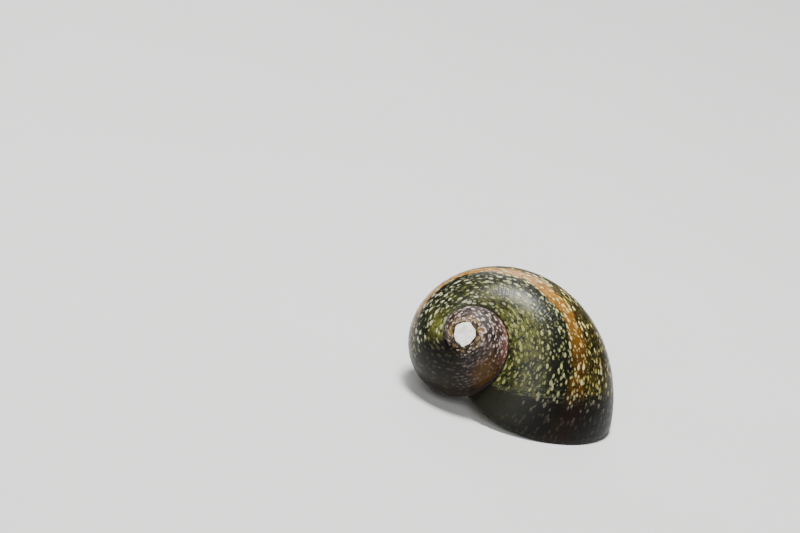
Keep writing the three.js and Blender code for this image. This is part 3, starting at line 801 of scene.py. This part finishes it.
def deck_form():
    """The deck: a shelf with a rounded, toothed edge, whose back spreads on the shell's base."""
    shell = bpy.data.objects["shell"]

    def under(spot):
        level = lip_height(spot) + DECK_RECESS
        start = (spot + MOVE) * MM
        start.z = -DECK_RAY_DROP * MM
        hit, place, _, _ = shell.ray_cast(start, Vector((0, 0, 1)))
        if not hit:
            return level
        cover = smooth(CALLUS_START, CALLUS_FULL, (spot - DECK_EDGE[0]).dot(DECK_INWARD))
        return level * (1 - cover) + min(level, place.z / MM - CALLUS_SINK) * cover

    def place(vert, column, row):
        share = (column % DECK_COLUMNS) / DECK_COLUMNS
        swing = row / DECK_ROWS
        inner = 0 < row < DECK_ROWS
        reach = math.sin(math.pi * min(max((swing - 0.03) / 0.94, 0), 1)) ** 0.32 if inner else 0
        spot = DECK_MIDDLE.lerp(deck_outline(share), reach)
        full = smooth(0.6, 0.0, max(reach - 0.4, 0)) if share >= DECK_TOOTHED_SHARE else 1.0
        rise = 0.5 - 0.5 * math.cos(math.pi * swing)
        lift = DECK_THICKNESS * rise + DECK_BACK_THIN * (1 - full) * (1 - rise)
        vert.co = Vector((spot.x, spot.y, under(spot) + lift))

    form = bmesh.new()
    wrap(form, DECK_COLUMNS, DECK_ROWS, place)
    return form


class NERITE_OT_deck(bpy.types.Operator):
    """Adds the toothed deck across the mouth, with its callus on the base of the shell"""
    bl_idname = "nerite.deck"
    bl_label = "Deck"

    def execute(self, context):
        look = context.scene.nerite_shell
        settle("deck", deck_form(), nodes=("shell_deck",), material=callus_material(look))
        return {"FINISHED"}


def skin_material(look):
    """Wet snail skin: slime gives a soft gloss over fine folds. Black pigment lies in fine
    lines across the head and in rings round the feelers, with pale specks between."""
    made, tree, shader = new_material("wet_skin")
    spot = object_millimetres(tree)
    limb = node("attribute", tree=tree, attribute_name="limb")
    fore = node("attribute", tree=tree, attribute_name="fore")
    cloud = node("noise", spot, 1 / 0.9, 4.0, 0.6)
    fine = node("noise", spot, 1 / 0.15, 3.0, 0.6)
    away, chance, _ = node("cells", spot, 1 / 0.24, 1.0)
    speck = node("step", away, 0.18, 0.38, 1.0, 0.0)
    speck *= node("step", node("part colour", chance)[0], 0.4, 0.55, 1.0, 0.0)
    lines = node("noise", node("stretch", spot, (0.35, 1.7, 0.7)), 1 / 0.42, 3.0, 0.55)
    wave = limb * (TURN / 0.36) + cloud * 3.0
    rings = node("step", node("sine", wave), -0.1, 0.5) * node("step", limb, 0.7, 1.2)
    height = node("part", spot)[2]
    ripple = node("noise", node("stretch", spot, (0.25, 1.2, 1.0)), 1 / 0.5, 3.0, 0.55)
    pale = layered(look.sole, (node("step", ripple, 0.4, 0.62), "#5f583f"), (speck * 0.35, "#2e2a1f"))
    colour = layered(
        look.skin,
        (node("step", cloud, 0.35, 0.65), "#2a261d"),
        (speck * 0.6, look.speck),
        (node("step", lines, 0.5, 0.58) * 0.85, look.streak),
        (node("step", limb, 0.2, 0.8, 0.0, 0.6), "#4d4739"),
        (rings * 0.85, look.streak),
        (fore * 0.65, node("mix", fine, "#6e6550", "#4a4334")),
        (node("step", height, 0.12, 0.42, 1.0, 0.0), pale),
    )
    wire(tree, shader, {
        "Base Color": colour,
        "Roughness": node("step", fine, 0.3, 0.7, 0.34, 0.5),
        "IOR": 1.38,
        "Subsurface Weight": 0.08,
        "Subsurface Radius": (0.0006, 0.0004, 0.0003),
        "Subsurface Scale": 0.5,
        "Coat Weight": 0.12,
        "Coat Roughness": 0.25,
        "Normal": node("bump", fine * 0.6 + lines * 0.5, 0.5, 0.08 * MM),
    })
    return made


def loft(form, rings):
    """Joins rings of equal count with bridges and closes the first and the last."""
    loops = []
    for ring in rings:
        made = bmesh.ops.create_circle(form, cap_ends=False, radius=1, segments=len(ring))
        for vert, spot in zip(made["verts"], ring):
            vert.co = spot
        loops.append(list({edge for vert in made["verts"] for edge in vert.link_edges}))
    for first, second in zip(loops, loops[1:]):
        bmesh.ops.bridge_loops(form, edges=first + second)
    bmesh.ops.holes_fill(form, edges=loops[0] + loops[-1], sides=0)


def oval(centre, width, length, z, turn, ripple, count=96):
    """A level oval ring, with an edge that may ripple a little."""
    ring = []
    for i in range(count):
        angle = TURN * i / count
        wave = math.sin(9 * angle + 0.7) + 0.6 * math.sin(14 * angle) + 0.4 * math.sin(31 * angle)
        wave = 1 + ripple * wave
        across = width / 2 * math.cos(angle) * wave
        along = length / 2 * math.sin(angle) * wave
        ring.append(Vector((
            centre.x + across * math.cos(turn) - along * math.sin(turn),
            centre.y + across * math.sin(turn) + along * math.cos(turn),
            z,
        )))
    return ring


def head_ring(forward, width, height, z, notch=0.0, square=0.83, count=56):
    """A squarish ring across the head, which may be notched in its middle."""
    ring = []
    for i in range(count):
        angle = TURN * (i + 0.5) / count
        side, up = math.cos(angle), math.sin(angle)
        x = width / 2 * math.copysign(abs(side) ** square, side)
        dz = height / 2 * math.copysign(abs(up) ** square, up)
        back = notch * math.exp(-((x / 0.55) ** 2))
        ring.append(Vector((HEAD_CENTRE.x + x, HEAD_CENTRE.y - forward + back, z + dz)))
    return ring


def foot_rings():
    """The foot from its sole up: a thin frilled edge, then the muscle up to the neck.
    Each row has the share of the way to the neck, width, length, height and ripple."""
    stations = (
        (0, 8.9, 13.3, 0.0, 0.004), (0, 9.6, 14.0, 0.06, 0.007), (0, 9.85, 14.25, 0.22, 0.011),
        (0, 9.5, 13.9, 0.42, 0.009), (0, 8.6, 12.8, 0.78, 0.004), (0, 7.6, 10.8, 1.25, 0),
        (0.5, 7.0, 9.0, 1.9, 0), (1, 7.6, 8.2, 2.9, 0), (1, 8.0, 8.2, 4.2, 0), (1, 6.0, 6.2, 5.4, 0),
    )
    return [
        oval(FOOT_CENTRE.lerp(NECK_CENTRE, share), width, length, z, FOOT_TURN if share < 1 else 0, ripple)
        for share, width, length, z, ripple in stations]


def head_rings():
    """The head from the neck to the lips: forward, width, height, middle height and notch."""
    stations = (
        (-3.6, 3.6, 1.6, 1.35, 0), (-2.4, 3.7, 1.55, 1.12, 0), (-1.2, 4.2, 1.62, 1.03, 0),
        (-0.2, 4.6, 1.72, 1.02, 0), (0.6, 4.55, 1.68, 1.0, 0), (1.2, 4.1, 1.5, 0.94, 0),
        (1.65, 3.66, 1.34, 0.88, 0), (2.15, 3.6, 1.26, 0.84, 0), (2.6, 3.7, 1.16, 0.8, 0.06),
        (2.95, 3.62, 1.0, 0.76, 0.16), (3.2, 3.2, 0.74, 0.7, 0.24), (3.32, 2.6, 0.42, 0.66, 0.26),
    )
    return [head_ring(*station) for station in stations]


FEELERS = {
    1: [(1.2, -0.2, 0.2), (1.5, -0.7, 0.3), (2.5, -2.0, 0.75), (3.4, -3.6, 0.85), (3.75, -5.35, 0.42)],
    -1: [(-1.2, -0.2, 0.2), (-1.5, -0.7, 0.25), (-2.1, -2.1, 0.7), (-1.7, -3.7, 0.9), (-0.7, -5.15, 0.6)],
}
FEELER_STEPS = 60
FEELER_ROOT = 0.43
FEELER_END = 0.15
FEELER_LENGTH = 5.2
EYE_CUP = EYE_RADIUS + 0.01
EYE_LID = 0.62
STALK_SIZE = (1.3, 1.15, 1.12)
LOBE_SIZE = (5.4, 5.0, 1.5)
MOUTH_HEIGHT = 0.52
MOUTH_DEPTH = 0.34
LIP_SWELL = 0.06
FOLD_HEIGHT = 0.02
RING_HEIGHT = 0.012
RING_SPACING = 0.24
# How high the skin's unevenness is, in millimetres, and how many waves it has in a millimetre.
SKIN_ROUGHNESS = ((0.045, 0.9), (0.03, 3.1), (0.014, 7.0))


def feeler_path(bend):
    path = [HEAD_CENTRE + Vector(shift) for shift in bend]
    return [curve_through(path, i / FEELER_STEPS) for i in range(FEELER_STEPS + 1)]


def feeler_rings(path, sides=20):
    """Rings along a feeler, which tapers to a blunt end."""
    rings = []
    side = Vector((0, 0, 1))
    for i, centre in enumerate(path):
        share = i / FEELER_STEPS
        ahead = (path[min(i + 1, FEELER_STEPS)] - path[max(i - 1, 0)]).normalized()
        side = (side - ahead * side.dot(ahead)).normalized()
        other = ahead.cross(side)
        radius = FEELER_ROOT + (FEELER_END - FEELER_ROOT) * share ** 0.9
        radius *= math.sqrt(max(1 - smooth(0.95, 1.0, share) * 0.75, 0))
        rings.append([
            centre + side * radius * math.cos(TURN * k / sides) + other * radius * math.sin(TURN * k / sides)
            for k in range(sides)])
    return rings


def on_side(shift, side):
    """A shift from the head's middle, mirrored for the right side."""
    return Vector((side * shift.x, shift.y, shift.z))


def ball(form, centre, size):
    place = Matrix.Translation(centre) @ Matrix.Diagonal((*(s / 2 for s in size), 1))
    bmesh.ops.create_icosphere(form, subdivisions=4, radius=1, matrix=place)


def lip_point(angle, inset, lift):
    return whorl_point(lip_turn(angle, inset, lift), angle, inset)


def mantle_rings(wall):
    """Rings along the mantle edge, a soft frilled roll that lines the lip inside."""
    rings = []
    count = 140
    first, last = math.radians(118), math.radians(-58)
    for i in range(count + 1):
        angle = first + (last - first) * i / count
        fade = 0.55 + 0.45 * math.sin(math.pi * i / count) ** 0.5
        frill = 1 + 0.07 * math.sin(i * 1.3) + 0.05 * math.sin(i * 0.47)
        ring = []
        for k in range(12):
            swing = TURN * k / 12
            inset = wall + 0.62 + 0.52 * fade * math.cos(swing) * frill
            ring.append(lip_point(angle, inset, 1.05 + 0.55 * fade * math.sin(swing) * frill))
        rings.append(ring)
    return rings


def plug_rings(wall):
    """The flesh that fills the mouth behind the mantle edge."""
    count = 64
    first, last = math.radians(120), math.radians(-64)
    inset = wall + 0.08
    ring = [lip_point(first + (last - first) * i / (count - 1), inset, 1.5) for i in range(count)]
    centre = sum(ring, Vector()) / count
    return [ring, [spot.lerp(centre, 0.16) + Vector((0, 0, 1.5)) for spot in ring]]


def fused(form, cell):
    """Fuses closed lumps into one skin of even cells and smooths it."""
    mesh = mesh_of("lumps", form)
    lumps = stand("lumps", mesh)
    fuse = lumps.modifiers.new("fuse", "REMESH")
    fuse.mode = "VOXEL"
    fuse.voxel_size = cell
    soften = lumps.modifiers.new("soften", "SMOOTH")
    soften.factor = 0.5
    soften.iterations = 5
    done = lumps.evaluated_get(bpy.context.evaluated_depsgraph_get())
    skin = bmesh.new()
    skin.from_mesh(done.to_mesh())
    bpy.data.objects.remove(lumps)
    bpy.data.meshes.remove(mesh)
    return skin


def shape_skin(form, feelers):
    """Raises folds on the head and foot, cuts the mouth and the eye cups, and marks the parts."""
    form.normal_update()
    limb = form.verts.layers.float.new("limb")
    fore = form.verts.layers.float.new("fore")
    step = FEELER_LENGTH / FEELER_STEPS
    eyes = [
        (HEAD_CENTRE + on_side(STALK_SHIFT + EYE_SHIFT, side), on_side(EYE_SHIFT, side).normalized())
        for side in (1, -1)]
    for vert in form.verts:
        spot = vert.co.copy()
        forward = HEAD_CENTRE.y - spot.y
        aside = spot.x - HEAD_CENTRE.x
        if forward > 0.3:
            gap, i = min(((spot - path[k]).length, k) for path in feelers
                         for k in range(0, FEELER_STEPS + 1, 2))
            on_limb = smooth(0.62, 0.5, gap) * smooth(1.5, 2.1, abs(aside) + max(forward - 2.4, 0))
            vert[limb] = i * step * on_limb
        else:
            on_limb = 0.0
        on_head = smooth(-2.8, -1.4, forward) * (1 - on_limb)
        vert[fore] = smooth(2.5, 3.1, forward) * (1 - on_limb)
        wave = forward * 11 + 1.8 * noise.noise(spot * 0.8) + 0.5 * math.cos(aside * 1.6)
        fold = FOLD_HEIGHT * math.sin(wave) * on_head * smooth(0.45, 0.9, spot.z)
        rough = sum(height * noise.noise(spot * rate) for height, rate in SKIN_ROUGHNESS)
        rough *= 1 - 0.8 * on_limb
        ring = RING_HEIGHT * math.sin(vert[limb] * TURN / RING_SPACING) * on_limb
        from_mouth = spot.z - MOUTH_HEIGHT - 0.09 * aside ** 2
        slit = math.exp(-((from_mouth / 0.09) ** 2))
        slit *= smooth(1.35, 0.8, abs(aside)) * smooth(2.2, 2.8, forward)
        lips = math.exp(-((from_mouth / 0.3) ** 2)) * smooth(2.6, 3.1, forward)
        settled = smooth(0.0, 0.3, spot.z)
        spot += vert.normal * ((fold + rough + ring) * settled + LIP_SWELL * lips - MOUTH_DEPTH * slit)
        for eye, outward in eyes:
            ahead = (spot - eye).dot(outward)
            beside = (spot - eye - outward * ahead).length
            if beside < EYE_CUP and ahead > -EYE_CUP:
                floor = -math.sqrt(EYE_CUP ** 2 - beside ** 2)
                spot += outward * (min(ahead, floor) - ahead)
            elif beside < EYE_LID and abs(ahead) < 0.6:
                spot += outward * (0.15 * math.exp(-(((beside - 0.45) / 0.1) ** 2)))
        vert.co = Vector((spot.x, spot.y, max(spot.z, 0.0)))


class NERITE_OT_body(bpy.types.Operator):
    """Adds the soft body as one skin: foot, head, feelers and mantle edge"""
    bl_idname = "nerite.body"
    bl_label = "Soft body"

    def execute(self, context):
        look = context.scene.nerite_body
        wall = context.scene.nerite_shell.wall
        feelers = [feeler_path(bend) for bend in FEELERS.values()]
        form = bmesh.new()
        loft(form, foot_rings())
        loft(form, head_rings())
        for side, path in zip(FEELERS, feelers):
            loft(form, feeler_rings(path))
            ball(form, HEAD_CENTRE + on_side(STALK_SHIFT, side), STALK_SIZE)
        ball(form, LOBE_CENTRE, LOBE_SIZE)
        loft(form, mantle_rings(wall))
        loft(form, plug_rings(wall))
        bmesh.ops.recalc_face_normals(form, faces=form.faces)
        form = fused(form, look.grain)
        shape_skin(form, feelers)
        nodes = ("foot", "head", "tentacle_left", "tentacle_right", "mantle_edge")
        settle("body", form, nodes=nodes, material=skin_material(look))
        return {"FINISHED"}


def eye_material(look):
    """Eye: a clear wet lens over black pigment, so it shows small sharp highlights."""
    made, tree, shader = new_material("wet_eye")
    colour = node("mix", node("noise", object_millimetres(tree), 1 / 0.3, 3.0, 0.55), look.eye, "#1a1512")
    wire(tree, shader, {"Base Color": colour, "Roughness": 0.06, "IOR": 1.38, "Coat Weight": 0.6})
    return made


class NERITE_OT_eyes(bpy.types.Operator):
    """Adds the two eyes, each a small lens in the cup of its stalk"""
    bl_idname = "nerite.eyes"
    bl_label = "Eyes"

    def execute(self, context):
        look = context.scene.nerite_body
        material = eye_material(look)
        for name, side in (("eye_left", 1), ("eye_right", -1)):
            place = Matrix.Translation(HEAD_CENTRE + on_side(STALK_SHIFT + EYE_SHIFT, side))
            form = bmesh.new()
            bmesh.ops.create_icosphere(form, subdivisions=4, radius=EYE_RADIUS, matrix=place)
            settle(name + "_lens", form, nodes=(name,), material=material)
        return {"FINISHED"}


def operculum_material(look):
    """Operculum: a limy plate under a thin horny film, with curved growth lines."""
    made, tree, shader = new_material("limy_operculum")
    rim = node("attribute", tree=tree, attribute_name="rim")
    cloud = node("noise", object_millimetres(tree), 1 / 0.9, 3.0, 0.55)
    lines = node("sine", (rim + cloud * 0.03) * 95.0)
    colour = layered(
        look.operculum,
        (node("step", lines, -0.4, 1.0, 0.0, 0.4), "#5d4030"),
        (node("step", rim, 0.84, 0.97), "#2a1c16"),
        (node("step", cloud, 0.5, 0.7, 0.0, 0.5), "#a98a70"),
    )
    normal = node("bump", lines, 0.3, 0.03 * MM)
    wire(tree, shader, {"Base Color": colour, "Roughness": 0.4, "Normal": normal})
    return made


class NERITE_OT_operculum(bpy.types.Operator):
    """Adds the operculum, a half-moon plate on the back of the foot"""
    bl_idname = "nerite.operculum"
    bl_label = "Operculum"

    def execute(self, context):
        place = Matrix.Translation(OPERCULUM_CENTRE)
        place @= Matrix.Rotation(math.atan2(DECK_RUN.y, DECK_RUN.x), 4, "Z")
        place @= Matrix.Rotation(OPERCULUM_LEAN, 4, "X")
        around, rows = 96, 30
        form = bmesh.new()
        rim = form.verts.layers.float.new("rim")

        def outline(share):
            swing = TURN * share
            x = OPERCULUM_LENGTH / 2 * math.cos(swing)
            y = OPERCULUM_WIDTH * (math.sin(swing) if swing < math.pi else 0.12 * math.sin(swing))
            return Vector((x, y - OPERCULUM_WIDTH / 2, 0))

        def put(vert, column, row):
            swing = math.pi * row / rows
            reach = math.sin(swing) ** 0.4 if 0 < row < rows else 0.0
            spot = Vector((-0.9, -0.9, 0)).lerp(outline((column % around) / around), reach)
            dome = 0.18 * (1 - reach * reach)
            rise = math.copysign(abs(math.cos(swing)) ** 0.8, math.cos(swing))
            spot.z = OPERCULUM_THICKNESS / 2 * rise + dome
            vert.co = place @ spot
            vert[rim] = reach

        wrap(form, around, rows, put)
        look = context.scene.nerite_body
        material = operculum_material(look)
        settle("operculum_plate", form, nodes=("operculum",), material=material)
        return {"FINISHED"}


# The photo's frame and the camera that the shell's outline was fitted with.
FRAME_WIDTH = 800
FOCAL_PIXELS = 3122
SENSOR = 36.0
CAMERA_SPOT = Vector((-205.28, 254.36, 125.72))
CAMERA_AHEAD = Vector((0.6328, -0.7030, -0.3247))
CAMERA_ROLL = math.radians(14.2)


def facing(ahead, roll=0.0):
    """The turn that makes a camera or a lamp look ahead, rolled about its view."""
    ahead = ahead.normalized()
    side = ahead.cross(Vector((0, 0, 1))).normalized()
    top = side.cross(ahead)
    right = side * math.cos(roll) + top * math.sin(roll)
    above = top * math.cos(roll) - side * math.sin(roll)
    return Matrix((right, above, -ahead)).transposed().to_4x4()


def photo_camera():
    lens = bpy.data.cameras.new("photo_camera")
    lens.sensor_width = SENSOR
    lens.lens = SENSOR * FOCAL_PIXELS / FRAME_WIDTH
    lens.clip_start = 0.01
    lens.clip_end = 20
    camera = stand("photo_camera", lens)
    camera.matrix_world = Matrix.Translation((CAMERA_SPOT + MOVE) * MM) @ facing(CAMERA_AHEAD, CAMERA_ROLL)
    bpy.context.scene.camera = camera


def soft_light(name, spot, power, size):
    """A square soft box at a spot in metres, aimed at the shell."""
    lamp = bpy.data.lights.new(name, "AREA")
    lamp.energy = power
    lamp.size = size
    stand(name, lamp).matrix_world = Matrix.Translation(spot) @ facing(Vector((0, 0, 0.007)) - spot)


def floor_material(look):
    """Matt painted board, pale and even, with a faint tooth from the roller."""
    made, tree, shader = new_material("matt_painted_board")
    cloud = node("noise", object_millimetres(tree), 1 / 30.0, 3.0, 0.5)
    colour = node("mix", node("step", cloud, 0.3, 0.7, 0.0, 0.25), look.floor, "#c2c3c0")
    wire(tree, shader, {"Base Color": colour, "Roughness": 0.75})
    return made


class NERITE_OT_stage(bpy.types.Operator):
    """Adds the pale floor, the soft lights and the camera of the photo"""
    bl_idname = "nerite.stage"
    bl_label = "Stage"

    def execute(self, context):
        look = context.scene.nerite_stage
        form = bmesh.new()
        bmesh.ops.create_grid(form, x_segments=1, y_segments=1, size=3)
        mesh = mesh_of("floor", form)
        mesh.materials.append(floor_material(look))
        floor = stand("floor", mesh)
        soft_light("key", Vector((0.05, 0.0, 0.5)), look.key, 0.15)
        soft_light("rim", Vector((0.35, -0.35, 0.35)), look.key * 0.2, 0.3)
        soft_light("front", Vector((-0.3, 0.42, 0.4)), look.key * 0.45, 0.4)
        world = bpy.data.worlds.new("studio")
        world.use_nodes = True
        shade = world.node_tree.nodes["Background"]
        wire(world.node_tree, shade, {"Color": "#ebe9e2", "Strength": look.fill})
        context.scene.world = world
        photo_camera()
        return {"FINISHED"}


class NERITE_PT_panel(bpy.types.Panel):
    """Lists the snail's looks and the steps that build it"""
    bl_idname = "NERITE_PT_panel"
    bl_label = "Nerite snail"
    bl_space_type = "VIEW_3D"
    bl_region_type = "UI"
    bl_category = "Nerite"

    def draw(self, context):
        column = self.layout.column()
        for settings in (getattr(context.scene, group) for group in LOOKS):
            for name in settings.bl_rna.properties.keys():
                if name not in ("name", "rna_type"):
                    column.prop(settings, name)
        for step in STEPS:
            column.operator(step.bl_idname)


STEPS = (
    NERITE_OT_shell,
    NERITE_OT_tip,
    NERITE_OT_deck,
    NERITE_OT_body,
    NERITE_OT_eyes,
    NERITE_OT_operculum,
    NERITE_OT_stage,
)
LOOKS = {"nerite_shell": ShellLook, "nerite_body": BodyLook, "nerite_stage": StageLook}
CLASSES = (*LOOKS.values(), *STEPS, NERITE_PT_panel)


def register():
    for kind in CLASSES:
        bpy.utils.register_class(kind)
    for group, kind in LOOKS.items():
        setattr(bpy.types.Scene, group, PointerProperty(type=kind))


def unregister():
    for group in LOOKS:
        delattr(bpy.types.Scene, group)
    for kind in reversed(CLASSES):
        bpy.utils.unregister_class(kind)


def main():
    register()
    bpy.ops.nerite.shell()
    bpy.ops.nerite.tip()
    bpy.ops.nerite.deck()
    bpy.ops.nerite.body()
    bpy.ops.nerite.eyes()
    bpy.ops.nerite.operculum()
    bpy.ops.nerite.stage()


if __name__ == "__main__":
    main()
